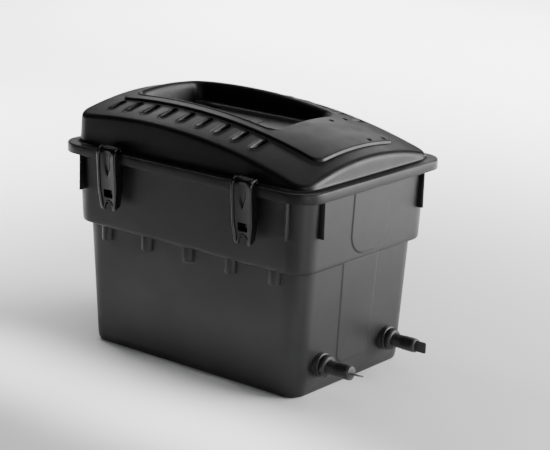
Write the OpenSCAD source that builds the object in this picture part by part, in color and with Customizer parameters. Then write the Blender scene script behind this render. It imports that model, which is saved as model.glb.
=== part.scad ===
// Box-type pond filter with a clamp-down lid.
//
// Water enters through the stepped hose tail, spreads over the distribution
// tray, sinks through three foam mats and the media bags into the sump, and
// leaves through the standpipe. Two plugged drains empty the sump.
//
// Units are millimetres, +Z is up. The origin is on the ground under the
// centre of the tank. +X points to the drains, -Y to the front long side.

/* [Tank] */
// Length of the rim, along X
rim_l = 555; // [400:1:700]
// Width of the rim, along Y
rim_w = 400; // [300:1:500]
// Corner radius of the rim
rim_r = 45; // [20:1:80]
// Height of the flange's upper face
rim_z = 366; // [250:1:500]
// Height of the rim skirt
rim_h = 17; // [10:1:30]
// Wall thickness of the tank
wall = 4; // [2:0.5:6]
// Length of the tank's foot
foot_l = 466; // [300:1:600]
// Width of the tank's foot
foot_w = 311; // [200:1:450]
// Corner radius of the tank's foot
foot_r = 30; // [15:1:60]
// Height of the step between the lower and the upper body
step_z = 224; // [120:1:320]
// How far the lower body widens on each side, foot to step
lower_draft = 13; // [0:0.5:20]
// How far the step stands out on each side
step_out = 10; // [4:0.5:20]
// How far the upper body widens on each side, step to rim
upper_draft = 6; // [0:0.5:15]
// Spacing of the locating pockets along the long sides
pocket_pitch = 94; // [60:1:120]
// Outer radius of a locating pocket
pocket_r = 12; // [6:0.5:16]

/* [Lid] */
// Height of the lid's long edge at its highest place
arch_z = 427.4; // [390:0.1:480]
// Place of the highest cross-section, along X
arch_x = -90; // [-200:1:200]
// Radius of the lid's arch, seen from the front
arch_r = 1100; // [600:10:3000]
// How much higher the middle is than the long edge
crown = 24; // [0:1:40]
// Half width over which the crown is measured
crown_y = 176; // [120:1:220]
// Wall thickness of the lid
lid_wall = 3.5; // [2:0.5:5]
// Width of the flange around the lid
flange_w = 19; // [10:1:30]
// Length of the raised top
plateau_l = 443; // [200:1:480]
// Width of the raised top
plateau_w = 218; // [100:1:300]
// Centre of the raised top, along X
plateau_x = 7.5; // [-50:0.5:50]
// Height of the raised top above the lid
plateau_h = 5; // [1:0.5:12]
// Height of the planting tray's floor
tray_z = 412; // [380:1:440]
// Number of blind flutes along each long edge
flutes = 9; // [3:1:15]
// Spacing of the flutes
flute_pitch = 40; // [25:1:60]
// Width of a flute
flute_w = 12; // [6:0.5:20]

/* [Clips] */
// Distance of each clip from the middle, along X
clip_x = 150; // [80:1:220]
// Width of a clip
clip_w = 44; // [20:1:60]
// Thickness of a clip's side rails
rail = 5.5; // [3:0.5:10]
// Diameter of the hinge pins
pin_d = 4; // [2:0.5:6]

/* [Drains] */
// Distance of each drain from the middle, along Y
drain_y = 95; // [40:1:130]
// Height of the drains
drain_z = 52; // [30:1:120]
// Outer diameter of the drain tube
drain_d = 24; // [16:0.5:40]
// Bore of the drain tube
drain_bore = 17; // [8:0.5:30]
// Where the drain tube ends, along X
drain_end = 300; // [270:1:340]
// Turn of the front plug's wing away from upright, in degrees
wing_turn = 69.7; // [0:0.1:90]

/* [Inlet and outlet] */
// Height of the inlet
inlet_z = 316; // [260:1:330]
// Thread diameter of the inlet fitting
inlet_d = 42; // [25:1:50]
// Side offset of the outlet, along Y
outlet_y = 95; // [0:1:110]
// Height of the outlet
outlet_z = 270; // [240:1:300]
// Outer diameter of the outlet pipe
outlet_d = 50; // [32:1:75]
// Place of the standpipe, along X
standpipe_x = -200; // [-205:1:-100]

/* [Hidden] */
$fn = 64;
eps = 0.01;
run = 0.05;                            // running clearance, radial

// tank
step_l = foot_l + 2*lower_draft;       // lower body at the step
step_w = foot_w + 2*lower_draft;
upper_l = step_l + 2*step_out;         // upper body at the step
upper_w = step_w + 2*step_out;
upper_r = 38;
chamfer = 6;                           // bevel of the foot
chamfer_h = 8;
skirt_z = rim_z - rim_h;               // lower edge of the lid's skirt
tank_top = rim_z - 6;                  // upper edge of the tank wall
lip_z = rim_z - 14;                    // underside of the tank's rim plate
lip_h = 4;
skirt_t = 3;
lip_gap = 0.8;                         // tank rim plate to lid skirt
lip_l = rim_l - 2*skirt_t - 2*lip_gap;
lip_w = rim_w - 22;                    // narrower, to clear the clips' rails
lower_slope = lower_draft/step_z;
upper_slope = upper_draft/(skirt_z - step_z);
pocket_x = [for (k = [-2:2]) 5 + k*pocket_pitch];
pocket_y = step_w/2 - 3;
pocket_z = step_z - 26;

// lid
dome_z = arch_z - arch_r;
plateau_r = 20;
tray_l = 302; tray_w = 160; tray_r = 14; tray_x = -29; tray_draft = 10; tray_h = 56;
scoop_r = 60; scoop_x = 70;
flute_x = [for (k = [0:flutes-1]) -195 + k*flute_pitch];
flute_in = 118; flute_out = 150;
fix_x = [137, 219]; fix_y = [45, 86];  // square fixing recesses

// clips
hinge_y = rim_w/2 - 5;
hinge_z = rim_z + 5.5;
knuckle_r = 5;
knuckle_w = 31;

// fittings
drain_seat = 240; drain_in = 229;      // outer and inner seats, along X
inlet_seat = 264; inlet_in = 254;
outlet_seat = 263; outlet_in = 253;
outlet_hole = 29;

// inner parts
grid_z = 78; grid_t = 6;
ledge_z = step_z + wall;
grate_t = 6;
mat_z = ledge_z + grate_t;
mats = [0, 18, 36, 64];                // joints between the foam mats
spread_z = mat_z + mats[3];
mat_x0 = -168; mat_x1 = 250; mat_w = 346;

function lower_half(z) = foot_l/2 + lower_slope*z;
function crown_at(y) = crown*(1 - pow(y/crown_y, 2));
function dome_at(x, y) =
    dome_z + sqrt(pow(arch_r + crown_at(y), 2) - pow(x - arch_x, 2));

// ---------- helpers ----------

// rounded rectangle, flat
module rrect(l, w, r) {
    square([l, w - 2*r], center = true);
    square([l - 2*r, w], center = true);
    for (x = [-1, 1], y = [-1, 1])
        translate([x*(l/2 - r), y*(w/2 - r)]) circle(r);
}

// rounded box whose walls lean out by "grow" from bottom to top
module taper_box(l, w, r, grow, h) {
    for (x = [-1, 1], y = [-1, 1])
        translate([x*(l/2 - r), y*(w/2 - r), 0])
            cylinder(r1 = r, r2 = r + grow, h = h);
    rotate([90, 0, 90]) linear_extrude(l - 2*r, center = true)
        polygon([[-w/2, 0], [w/2, 0], [w/2 + grow, h], [-w/2 - grow, h]]);
    rotate([90, 0, 0]) linear_extrude(w - 2*r, center = true)
        polygon([[-l/2, 0], [l/2, 0], [l/2 + grow, h], [-l/2 - grow, h]]);
}

// slot with round ends along Y, flat
module slot2d(w, l) {
    square([w, l - w], center = true);
    for (s = [-1, 1]) translate([0, s*(l - w)/2]) circle(w/2);
}

// place children with their +Z axis along +X
module along_x() { rotate([0, 90, 0]) children(); }

// place children with their +Z axis along -X
module against_x() { rotate([0, -90, 0]) children(); }

// outline in the YZ plane, extruded evenly about X = 0
module across_x(w) {
    rotate([90, 0, 90]) linear_extrude(w, center = true) children();
}

module tube(r_out, r_in, h) {
    difference() {
        cylinder(r = r_out, h = h);
        translate([0, 0, -1]) cylinder(r = r_in, h = h + 2);
    }
}

// ---------- tank ----------

module lower_body(grow = 0) {
    g = lower_slope*chamfer_h;
    translate([0, 0, chamfer_h])
        taper_box(foot_l + 2*g + 2*grow, foot_w + 2*g + 2*grow,
                  foot_r + g + grow, lower_draft - g, step_z - chamfer_h);
    if (grow == 0)
        taper_box(foot_l - 2*chamfer, foot_w - 2*chamfer,
                  foot_r - chamfer, chamfer + g, chamfer_h);
}

module upper_body(grow = 0, top = 360) {
    translate([0, 0, step_z])
        taper_box(upper_l + 2*grow, upper_w + 2*grow, upper_r + grow,
                  upper_slope*(top - step_z), top - step_z);
}

module tank_cavity() {
    translate([0, 0, wall])
        taper_box(foot_l - 2*wall, foot_w - 2*wall, foot_r - wall,
                  lower_slope*(ledge_z + 1 - wall), ledge_z + 1 - wall);
    translate([0, 0, ledge_z])
        taper_box(upper_l - 2*wall, upper_w - 2*wall, upper_r - wall,
                  upper_slope*(tank_top + 1 - ledge_z),
                  tank_top + 1 - ledge_z);
}

// raised panels on the two short ends
module end_panels() {
    intersection() {
        upper_body(1.5, lip_z);
        across_x(rim_l) {
            translate([0, 312]) square([102, 76], center = true);
            translate([0, 256]) square([24, 44], center = true);
            for (s = [-1, 1]) translate([s*11, 274]) circle(40);
        }
    }
    intersection() {
        lower_body(1.2);
        across_x(rim_l) translate([-3, 0]) {
            polygon([[-50, 226], [50, 226], [45, 58], [27, 40], [-27, 40], [-45, 58]]);
            for (s = [-1, 1]) translate([s*27, 58]) circle(18);
        }
    }
}

module gusset(reach) {
    across_x(3) polygon([[reach - 20.5, skirt_z - 65], [reach - 7.5, skirt_z - 65],
        [reach - 7.5, lip_z + 1], [reach - 17.5, lip_z + 1]]);
}

module gussets() {
    for (s = [0, 180]) rotate([0, 0, s]) {
        for (x = [-229, 229]) translate([x, 0, 0]) gusset(rim_w/2);
        for (y = [-141, 141]) translate([0, y, 0])
            rotate([0, 0, 90]) gusset(rim_l/2);
    }
}

module pocket_shape(r, z, top) {
    for (x = pocket_x, s = [-1, 1]) translate([x, s*pocket_y, z])
        cylinder(r = r, h = top - z);
}

module tank() {
    color([0.13, 0.13, 0.14]) difference() {
        union() {
            difference() {
                union() {
                    lower_body();
                    upper_body(0, tank_top);
                    end_panels();
                    gussets();
                    pocket_shape(pocket_r, pocket_z, step_z + 1);
                    translate([0, 0, lip_z]) linear_extrude(lip_h)
                        rrect(lip_l, lip_w, rim_r - skirt_t - lip_gap);
                }
                tank_cavity();
                pocket_shape(pocket_r - 3.5, pocket_z + 3, ledge_z + 1);
            }
            for (s = [-1, 1]) translate([drain_in, s*drain_y, drain_z])
                along_x() cylinder(r = 21.5, h = drain_seat - drain_in);
            translate([-inlet_in, 0, inlet_z]) against_x()
                cylinder(r = 27, h = inlet_seat - inlet_in);
            translate([-outlet_in, outlet_y, outlet_z]) against_x()
                cylinder(r = 35, h = outlet_seat - outlet_in);
        }
        for (s = [-1, 1]) translate([drain_in - 1, s*drain_y, drain_z])
            along_x() cylinder(d = drain_d + 0.4, h = 20);
        translate([1 - inlet_in, 0, inlet_z]) against_x()
            cylinder(d = inlet_d + 0.4, h = 20);
        translate([1 - outlet_in, outlet_y, outlet_z]) against_x()
            cylinder(r = outlet_hole, h = 20);
        // flat seats for the seals inside
        translate([-outlet_in, outlet_y, outlet_z]) along_x() cylinder(r = 33, h = 8);
    }
}

// ---------- inner parts ----------

module slots(nx, ny, px, py, w, l) {
    for (i = [0:nx-1], j = [0:ny-1])
        translate([(i - (nx-1)/2)*px, (j - (ny-1)/2)*py]) square([w, l], center = true);
}

module standpipe_hole(z, h) {
    translate([standpipe_x, outlet_y, z]) cylinder(d = outlet_d + 2, h = h);
}

// carries the media bags above the sump
module lower_grid() {
    half = lower_half(grid_z) - wall - 1.5;
    color([0.2, 0.2, 0.22]) difference() {
        union() {
            translate([0, 0, grid_z]) linear_extrude(grid_t)
                rrect(2*half, 2*half - foot_l + foot_w, foot_r - 2);
            for (x = [-130, 0, 130], y = [-100, 100])
                translate([x, y, wall]) cylinder(r = 9, h = grid_z - wall + 1);
            translate([standpipe_x, outlet_y, grid_z])
                cylinder(d = outlet_d + 10, h = 14);
        }
        translate([20, 0, grid_z - 1]) linear_extrude(grid_t + 2)
            slots(15, 4, 26, 66, 10, 52);
        standpipe_hole(grid_z - 1, 20);
    }
}

module media_bag(x0, x1) {
    translate([(x0 + x1)/2, 0, grid_z + grid_t]) {
        linear_extrude(110) rrect(x1 - x0, 300, 28);
        translate([0, 0, 110]) linear_extrude(12)
            rrect(x1 - x0 - 24, 276, 22);
    }
}
module media_bag_inlet_side() { color([0.35, 0.33, 0.3]) media_bag(-165, 28); }
module media_bag_drain_side() { color([0.35, 0.33, 0.3]) media_bag(32, 225); }

// rests on the inner ledge, its lugs drop into the side pockets
module foam_grate() {
    color([0.22, 0.22, 0.24]) difference() {
        union() {
            translate([0, 0, ledge_z]) linear_extrude(grate_t)
                rrect(upper_l - 2*wall - 3, upper_w - 2*wall - 3, upper_r - wall - 1.5);
            for (x = pocket_x, s = [-1, 1])
                translate([x, s*(pocket_y - 0.5), pocket_z + 4])
                    cylinder(r = pocket_r - 4.5, h = ledge_z - pocket_z - 3);
        }
        translate([20, 0, ledge_z - 1]) linear_extrude(grate_t + 2)
            slots(15, 4, 26, 74, 12, 60);
        standpipe_hole(ledge_z - 1, grate_t + 2);
    }
}

module foam_mat(k) {
    translate([(mat_x0 + mat_x1)/2, 0, mat_z + mats[k]])
        linear_extrude(mats[k + 1] - mats[k])
            rrect(mat_x1 - mat_x0, mat_w, 30);
}
module foam_fine()   { color([0.16, 0.2, 0.3]) foam_mat(0); }
module foam_medium() { color([0.15, 0.25, 0.18]) foam_mat(1); }
module foam_coarse() { color([0.1, 0.2, 0.42]) foam_mat(2); }

// perforated pan that spreads the incoming water over the foam
module distribution_tray() {
    l = 496; w = 344; r = 30; h = 30;
    color([0.25, 0.25, 0.27]) translate([0, 0, spread_z]) difference() {
        linear_extrude(h) rrect(l, w, r);
        translate([0, 0, 3]) linear_extrude(h) rrect(l - 6, w - 6, r - 3);
        for (i = [0:9], j = [0:6])
            translate([-130 + i*38, (j - 3)*46, -1]) cylinder(d = 9, h = 5, $fn = 24);
        translate([-l/2 - 1, 0, inlet_z - spread_z]) along_x()
            cylinder(r = inlet_d/2 + 3, h = 12);
        translate([-l/2 - 1, -inlet_d/2 - 3, inlet_z - spread_z])
            cube([12, inlet_d + 6, h]);
    }
}

// ---------- inlet ----------

module at_inlet(depth) {
    translate([-depth, 0, inlet_z]) against_x() children();
}

module inlet_fitting() {
    color([0.12, 0.12, 0.13]) at_inlet(inlet_in - 4) difference() {
        union() {
            cylinder(r = 27, h = 4);
            cylinder(d = inlet_d, h = 45);
        }
        translate([0, 0, -1]) cylinder(r = 16, h = 50);
    }
}

module inlet_gasket() {
    color([0.05, 0.05, 0.05]) at_inlet(inlet_seat)
        tube(27, inlet_d/2 + run, 3);
}

module ribbed_nut(r, r_in, h, ribs) {
    difference() {
        union() {
            cylinder(r = r, h = h);
            for (k = [0:ribs-1]) rotate([0, 0, k*360/ribs])
                translate([0, -2, 0]) cube([r + 1.5, 4, h - 2]);
        }
        translate([0, 0, -1]) cylinder(r = r_in, h = h + 2);
    }
}

module inlet_nut() {
    color([0.12, 0.12, 0.13]) at_inlet(inlet_seat + 3)
        ribbed_nut(24.5, inlet_d/2 + run, 10, 12);
}

// stepped for three hose sizes
module inlet_hose_tail() {
    r = [19, 15.5, 12.5];
    color([0.12, 0.12, 0.13]) at_inlet(inlet_in + 41) difference() {
        union() {
            cylinder(r = 20.5, h = 4);
            cylinder(r = r[0], h = 35);
            translate([0, 0, 35]) cylinder(r = r[1], h = 24);
            translate([0, 0, 59]) cylinder(r = r[2], h = 22);
            for (k = [0:2]) translate([0, 0, [24, 41, 65][k]])
                cylinder(r1 = r[k] + 1, r2 = r[k], h = 5);
        }
        translate([0, 0, -1]) cylinder(r = 9.5, h = 90);
    }
}

module inlet_union_nut() {
    color([0.12, 0.12, 0.13]) at_inlet(inlet_in + 29) difference() {
        ribbed_nut(25, 19 + run, 20, 16);
        translate([0, 0, -1]) cylinder(r = inlet_d/2 + run, h = 17 + eps);
    }
}

// ---------- outlet ----------

// slotted at its foot, pushes up into the elbow
module standpipe() {
    r = outlet_d/2;
    color([0.16, 0.16, 0.17]) translate([standpipe_x, outlet_y, 12]) difference() {
        tube(r, r - 2, outlet_z - 35);
        for (a = [0, 90]) rotate([0, 0, a])
            translate([-r - 1, -6, -1]) cube([2*r + 2, 12, 22]);
    }
}

// its spigot leaves through the tank wall, up to a stop collar
module outlet_elbow() {
    r = outlet_d/2; socket = 27.5;
    color([0.16, 0.16, 0.17]) translate([standpipe_x, outlet_y, outlet_z]) difference() {
        union() {
            translate([0, 0, -34]) cylinder(r = socket, h = 34);
            sphere(socket);
            against_x() cylinder(r = r, h = 122);
            against_x() translate([0, 0, 78]) cylinder(r = 28.5, h = 6);
        }
        translate([0, 0, -35]) cylinder(r = r + run, h = 35 - 23 + eps);
        translate([0, 0, -35]) cylinder(r = r - 2, h = 35);
        sphere(r - 2);
        against_x() cylinder(r = r - 2, h = 123);
    }
}

module outlet_seal() {
    color([0.05, 0.05, 0.05]) translate([-outlet_in + 3, outlet_y, outlet_z])
        against_x() difference() {
            union() {
                cylinder(r = 32, h = 3);
                cylinder(r = outlet_hole, h = 14);
                translate([0, 0, 13]) cylinder(r = 33.5, h = 4);
            }
            translate([0, 0, -1]) cylinder(d = outlet_d, h = 20);
        }
}

// ---------- drains ----------

module at_drain(s, x) {
    translate([x, s*drain_y, drain_z]) along_x() children();
}

module drain_tube(s) {
    color([0.15, 0.15, 0.16]) at_drain(s, drain_in - 4) difference() {
        union() {
            cylinder(r = 19, h = 4);
            cylinder(d = drain_d, h = drain_end - drain_in + 4);
            translate([0, 0, drain_end - drain_in - 18])
                cylinder(d = drain_d + 1.2, h = 22);
        }
        translate([0, 0, -1]) cylinder(d = drain_bore, h = 100);
    }
}
module drain_tube_front() { drain_tube(-1); }
module drain_tube_back()  { drain_tube(1); }

module drain_gasket(s) {
    color([0.05, 0.05, 0.05]) at_drain(s, drain_seat)
        tube(21, drain_d/2 + run, 3);
}
module drain_gasket_front() { drain_gasket(-1); }
module drain_gasket_back()  { drain_gasket(1); }

module drain_nut(s) {
    ri = drain_d/2 + run;
    color([0.18, 0.18, 0.19]) at_drain(s, drain_seat + 3) rotate_extrude()
        polygon([[ri, 0], [21, 0], [21, 3], [18.5, 3.6], [18.5, 5], [19.6, 5.6],
                 [19.6, 12], [17, 15], [ri, 15]]);
}
module drain_nut_front() { drain_nut(-1); }
module drain_nut_back()  { drain_nut(1); }

// push-in stopper with a flat wing
module drain_plug(s, turn) {
    stem = 24;
    color([0.2, 0.2, 0.21]) at_drain(s, drain_end - stem) rotate([0, 0, turn]) {
        rotate_extrude() polygon([[0, 0], [7.4, 0], [drain_bore/2 - run, 1.2],
            [drain_bore/2 - run, 7], [6, 7], [6, 9.6], [drain_bore/2 - run, 9.6],
            [drain_bore/2 - run, stem + 0.2], [drain_d/2, stem + 0.2],
            [drain_d/2, stem + 2.4], [drain_d/2 - 0.8, stem + 3.2],
            [0, stem + 3.2]]);
        translate([0, 1.1, stem + 3]) rotate([90, 0, 0]) linear_extrude(2.2) {
            translate([0, 8.5]) square([20, 17], center = true);
            translate([0, 10]) square([14, 20], center = true);
            for (x = [-7, 7]) translate([x, 17]) circle(3);
        }
    }
}
module drain_plug_front() { drain_plug(-1, wing_turn); }
module drain_plug_back()  { drain_plug(1, 0); }

module plug_seal(s) {
    color([0.05, 0.05, 0.05]) at_drain(s, drain_end - 24 + 8.3)
        rotate_extrude() translate([7.2, 0]) circle(1.2, $fn = 24);
}
module plug_seal_front() { plug_seal(-1); }
module plug_seal_back()  { plug_seal(1); }

// ---------- lid ----------

// everything under the arched and crowned top, raised by "up"
module dome(up = 0) {
    translate([arch_x, 0, dome_z]) rotate([90, 0, 0])
        rotate_extrude($fn = 360) polygon(concat(
            [for (y = [-204:17:204]) [arch_r + crown_at(y) + up, y]],
            [[arch_r - 130, 204], [arch_r - 130, -204]]));
}

// planting tray: leaning walls, and a hollow ramp at the drain end
module tray_shape(t = 0) {
    difference() {
        translate([tray_x, 0, tray_z - t])
            taper_box(tray_l + 2*t, tray_w + 2*t, tray_r + t, tray_draft, tray_h + t);
        difference() {
            translate([scoop_x, -rim_w/2, tray_z - 20]) cube([150, rim_w, 100]);
            translate([scoop_x, 0, tray_z - 1 + scoop_r]) rotate([90, 0, 0])
                cylinder(r = scoop_r + t, h = rim_w + 2, center = true, $fn = 128);
        }
    }
}

module flute_shapes(t = 0) {
    for (x = flute_x, s = [-1, 1])
        translate([x, s*(flute_in + flute_out)/2, dome_at(x, flute_out) - t])
            linear_extrude(30) slot2d(flute_w + 2*t, flute_out - flute_in + flute_w + 2*t);
}

module lid_cavity() {
    difference() {
        intersection() {
            translate([0, 0, skirt_z - 1])
                taper_box(rim_l - 2*flange_w - 6, rim_w - 2*flange_w - 6, 31, -6, 112);
            dome(-lid_wall);
        }
        tray_shape(3);
        flute_shapes(2.5);
    }
}

module knuckles() {
    for (x = [-clip_x, clip_x], y = [-hinge_y, hinge_y]) translate([x, y, hinge_z]) {
        along_x() cylinder(r = knuckle_r, h = knuckle_w, center = true);
        translate([-knuckle_w/2, -knuckle_r, rim_z - hinge_z - 0.5])
            cube([knuckle_w, 2*knuckle_r, hinge_z - rim_z + 0.5]);
    }
}

module lid() {
    color([0.1, 0.1, 0.11]) difference() {
        union() {
            difference() {
                union() {
                    translate([0, 0, skirt_z]) linear_extrude(rim_h)
                        rrect(rim_l, rim_w, rim_r);
                    intersection() {
                        translate([0, 0, rim_z - 4])
                            taper_box(rim_l - 2*flange_w, rim_w - 2*flange_w, 34, -5, 100);
                        dome();
                    }
                    intersection() {
                        translate([plateau_x, 0, skirt_z]) linear_extrude(120)
                            rrect(plateau_l, plateau_w, plateau_r);
                        dome(plateau_h);
                    }
                }
                translate([0, 0, skirt_z - 1]) linear_extrude(rim_h - 3)
                    rrect(rim_l - 2*skirt_t, rim_w - 2*skirt_t, rim_r - skirt_t);
                lid_cavity();
                tray_shape();
                flute_shapes();
                translate([-138, 48, tray_z - 5]) cube([38, 20, 20], center = true);
                for (x = fix_x, y = fix_y)
                    translate([x - 3.5, y - 3.5, dome_at(x, y) - 1]) cube([7, 7, 20]);
            }
            translate([-50, 8, tray_z - 1]) linear_extrude(2.5)
                rotate([0, 0, 90]) slot2d(60, 120);
            knuckles();
        }
        for (x = [-clip_x, clip_x], y = [-hinge_y, hinge_y])
            translate([x, y, hinge_z]) along_x()
                cylinder(d = pin_d + 0.04, h = knuckle_w + 2, center = true);
    }
}

// soft seal between the tank wall's upper edge and the lid
module lid_gasket() {
    grow = upper_slope*(tank_top - step_z);
    color([0.04, 0.04, 0.04]) translate([0, 0, tank_top + 0.1])
        linear_extrude(rim_z - 4 - tank_top - 0.1) difference() {
            rrect(upper_l + 2*grow, upper_w + 2*grow, upper_r + grow);
            rrect(upper_l + 2*grow - 2*wall, upper_w + 2*grow - 2*wall, upper_r + grow - wall);
        }
}

// ---------- clips ----------

module clip_pins() {
    color([0.6, 0.6, 0.62])
        for (x = [-clip_x, clip_x], y = [-hinge_y, hinge_y])
            translate([x, y, hinge_z]) along_x()
                cylinder(d = pin_d, h = clip_w - 2, center = true);
}

// side view of a rail, as distance outward and height
rail_side = [[195, 376.5], [203, 376.6], [208, 375], [211, 371], [212, 365],
    [211.4, 350], [208.6, 310], [206.4, 280], [205.4, 264], [202.4, 264],
    [190, 272.5], [190, 347.8], [191, 348.3],
    [195, 348.1], [199, 348.3], [200.6, 348.9], [200.6, 366.5], [195, 366.5]];
// side view of the sunk web between the rails
web_side = [[204.2, 375.2], [206.6, 372.6], [208.4, 368], [208.6, 364],
    [208, 350], [205.2, 310], [203, 280], [202, 264], [199.6, 264],
    [200.8, 282], [202.4, 310], [204.9, 350], [205.4, 365], [204.6, 369],
    [202.6, 372.4]];
function outward(points) = [for (p = points) [-p[0], p[1]]];

module clip() {
    color([0.14, 0.14, 0.15]) difference() {
        intersection() {
            union() {
                for (s = [-1, 1]) translate([s*(clip_w - rail)/2, 0, 0]) {
                    across_x(rail) polygon(outward(rail_side));
                    translate([0, -hinge_y, hinge_z]) along_x()
                        cylinder(r = knuckle_r, h = rail, center = true);
                }
                across_x(clip_w - rail) polygon(outward(web_side));
                for (s = [-1, 1]) translate([s*10, 0, 0])
                    across_x(6) polygon(outward([[201, 264], [204.4, 264],
                        [205.6, 284], [202, 284]]));
            }
            rotate([90, 0, 0]) linear_extrude(230) polygon([[-clip_w/2, 378],
                [clip_w/2, 378], [clip_w/2, 305], [clip_w/2 - 5, 264],
                [-clip_w/2 + 5, 264], [-clip_w/2, 305]]);
        }
        translate([-10, -215, 287]) cube([20, 30, 14]);
        translate([0, -190, 0]) rotate([90, 0, 0]) linear_extrude(25) {
            translate([0, 273]) circle(8);
            translate([-8, 260]) square([16, 13]);
        }
        translate([0, -206.4, 0]) rotate([90, 0, 0]) linear_extrude(6)
            polygon([[-9, 368], [9, 368], [8, 350], [0, 324], [-8, 350]]);
        translate([0, -hinge_y, hinge_z]) along_x()
            cylinder(d = pin_d + 0.16, h = clip_w + 2, center = true);
    }
}
module clip_front_left()  { translate([-clip_x, 0, 0]) clip(); }
module clip_front_right() { translate([clip_x, 0, 0]) clip(); }
module clip_back_left()   { mirror([0, 1, 0]) clip_front_left(); }
module clip_back_right()  { mirror([0, 1, 0]) clip_front_right(); }

tank();
lower_grid();
media_bag_inlet_side();
media_bag_drain_side();
foam_grate();
foam_fine();
foam_medium();
foam_coarse();
distribution_tray();
inlet_fitting();
inlet_gasket();
inlet_nut();
inlet_hose_tail();
inlet_union_nut();
standpipe();
outlet_elbow();
outlet_seal();
drain_tube_front();
drain_tube_back();
drain_gasket_front();
drain_gasket_back();
drain_nut_front();
drain_nut_back();
drain_plug_front();
drain_plug_back();
plug_seal_front();
plug_seal_back();
lid();
lid_gasket();
clip_pins();
clip_front_left();
clip_front_right();
clip_back_left();
clip_back_right();
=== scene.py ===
"""Box-type pond filter: looks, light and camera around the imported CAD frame."""
import math

import bpy
import numpy as np
from mathutils import Matrix, Vector


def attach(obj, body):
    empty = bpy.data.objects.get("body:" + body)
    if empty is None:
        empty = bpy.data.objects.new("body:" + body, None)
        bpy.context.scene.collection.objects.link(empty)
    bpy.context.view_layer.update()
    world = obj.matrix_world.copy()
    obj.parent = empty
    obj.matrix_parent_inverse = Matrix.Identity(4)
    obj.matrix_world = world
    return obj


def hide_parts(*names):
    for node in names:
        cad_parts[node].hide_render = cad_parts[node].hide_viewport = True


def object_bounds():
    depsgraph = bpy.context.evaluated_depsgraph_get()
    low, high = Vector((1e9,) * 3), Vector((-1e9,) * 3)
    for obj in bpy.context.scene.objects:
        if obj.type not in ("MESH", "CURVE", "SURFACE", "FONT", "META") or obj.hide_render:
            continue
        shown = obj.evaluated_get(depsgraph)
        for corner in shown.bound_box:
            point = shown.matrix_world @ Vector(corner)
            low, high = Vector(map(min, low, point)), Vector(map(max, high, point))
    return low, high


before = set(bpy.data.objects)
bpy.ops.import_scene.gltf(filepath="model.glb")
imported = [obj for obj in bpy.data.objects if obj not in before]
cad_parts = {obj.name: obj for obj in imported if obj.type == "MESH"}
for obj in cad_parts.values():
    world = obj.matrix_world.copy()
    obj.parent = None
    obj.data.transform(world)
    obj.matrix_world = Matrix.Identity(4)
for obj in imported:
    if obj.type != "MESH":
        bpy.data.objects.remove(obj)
cad_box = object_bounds()


def put(name, data):
    """New object in the scene."""
    obj = bpy.data.objects.new(name, data)
    bpy.context.collection.objects.link(obj)
    return obj


# ---- camera

AIM = Vector((0.0, 0.0, 0.2))  # the point the camera was fitted about
AZIMUTH, ELEVATION, ROLL = 38.894, 16.082, 1.722
DISTANCE = 3.16234
LENS = 116.9


def add_camera():
    az, el, roll = (math.radians(a) for a in (AZIMUTH, ELEVATION, ROLL))
    back = Vector((math.sin(az) * math.cos(el), -math.cos(az) * math.cos(el), math.sin(el)))
    right = Vector((math.cos(az), math.sin(az), 0.0))
    up = back.cross(right)
    r = math.cos(roll) * right + math.sin(roll) * up
    u = math.cos(roll) * up - math.sin(roll) * right
    data = bpy.data.cameras.new("camera")
    data.sensor_width = 36.0
    data.lens = LENS
    data.clip_start, data.clip_end = 0.1, 50.0
    data.shift_x, data.shift_y = 0.0478, 0.0274
    camera = put("camera", data)
    pose = Matrix((r, u, back)).transposed().to_4x4()
    pose.translation = AIM + back * DISTANCE
    camera.matrix_world = pose
    bpy.context.scene.camera = camera


# ---- light

FLOOR_HALF = 12.0  # metres
FLOOR_GAP = 0.0005  # below the object, so that the two faces don't fight
FLOOR_WHITE = 0.9


def area_light(name, place, target, size, power, spread=180):
    """Rectangular light; places and size in metres, power in watts, spread in degrees."""
    data = bpy.data.lights.new(name, "AREA")
    data.shape = "RECTANGLE"
    data.size, data.size_y = size
    data.energy = power
    data.spread = math.radians(spread)
    light = put(name, data)
    light.location = place
    aim = Vector(target) - Vector(place)
    light.rotation_euler = aim.to_track_quat("-Z", "Y").to_euler()


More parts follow.
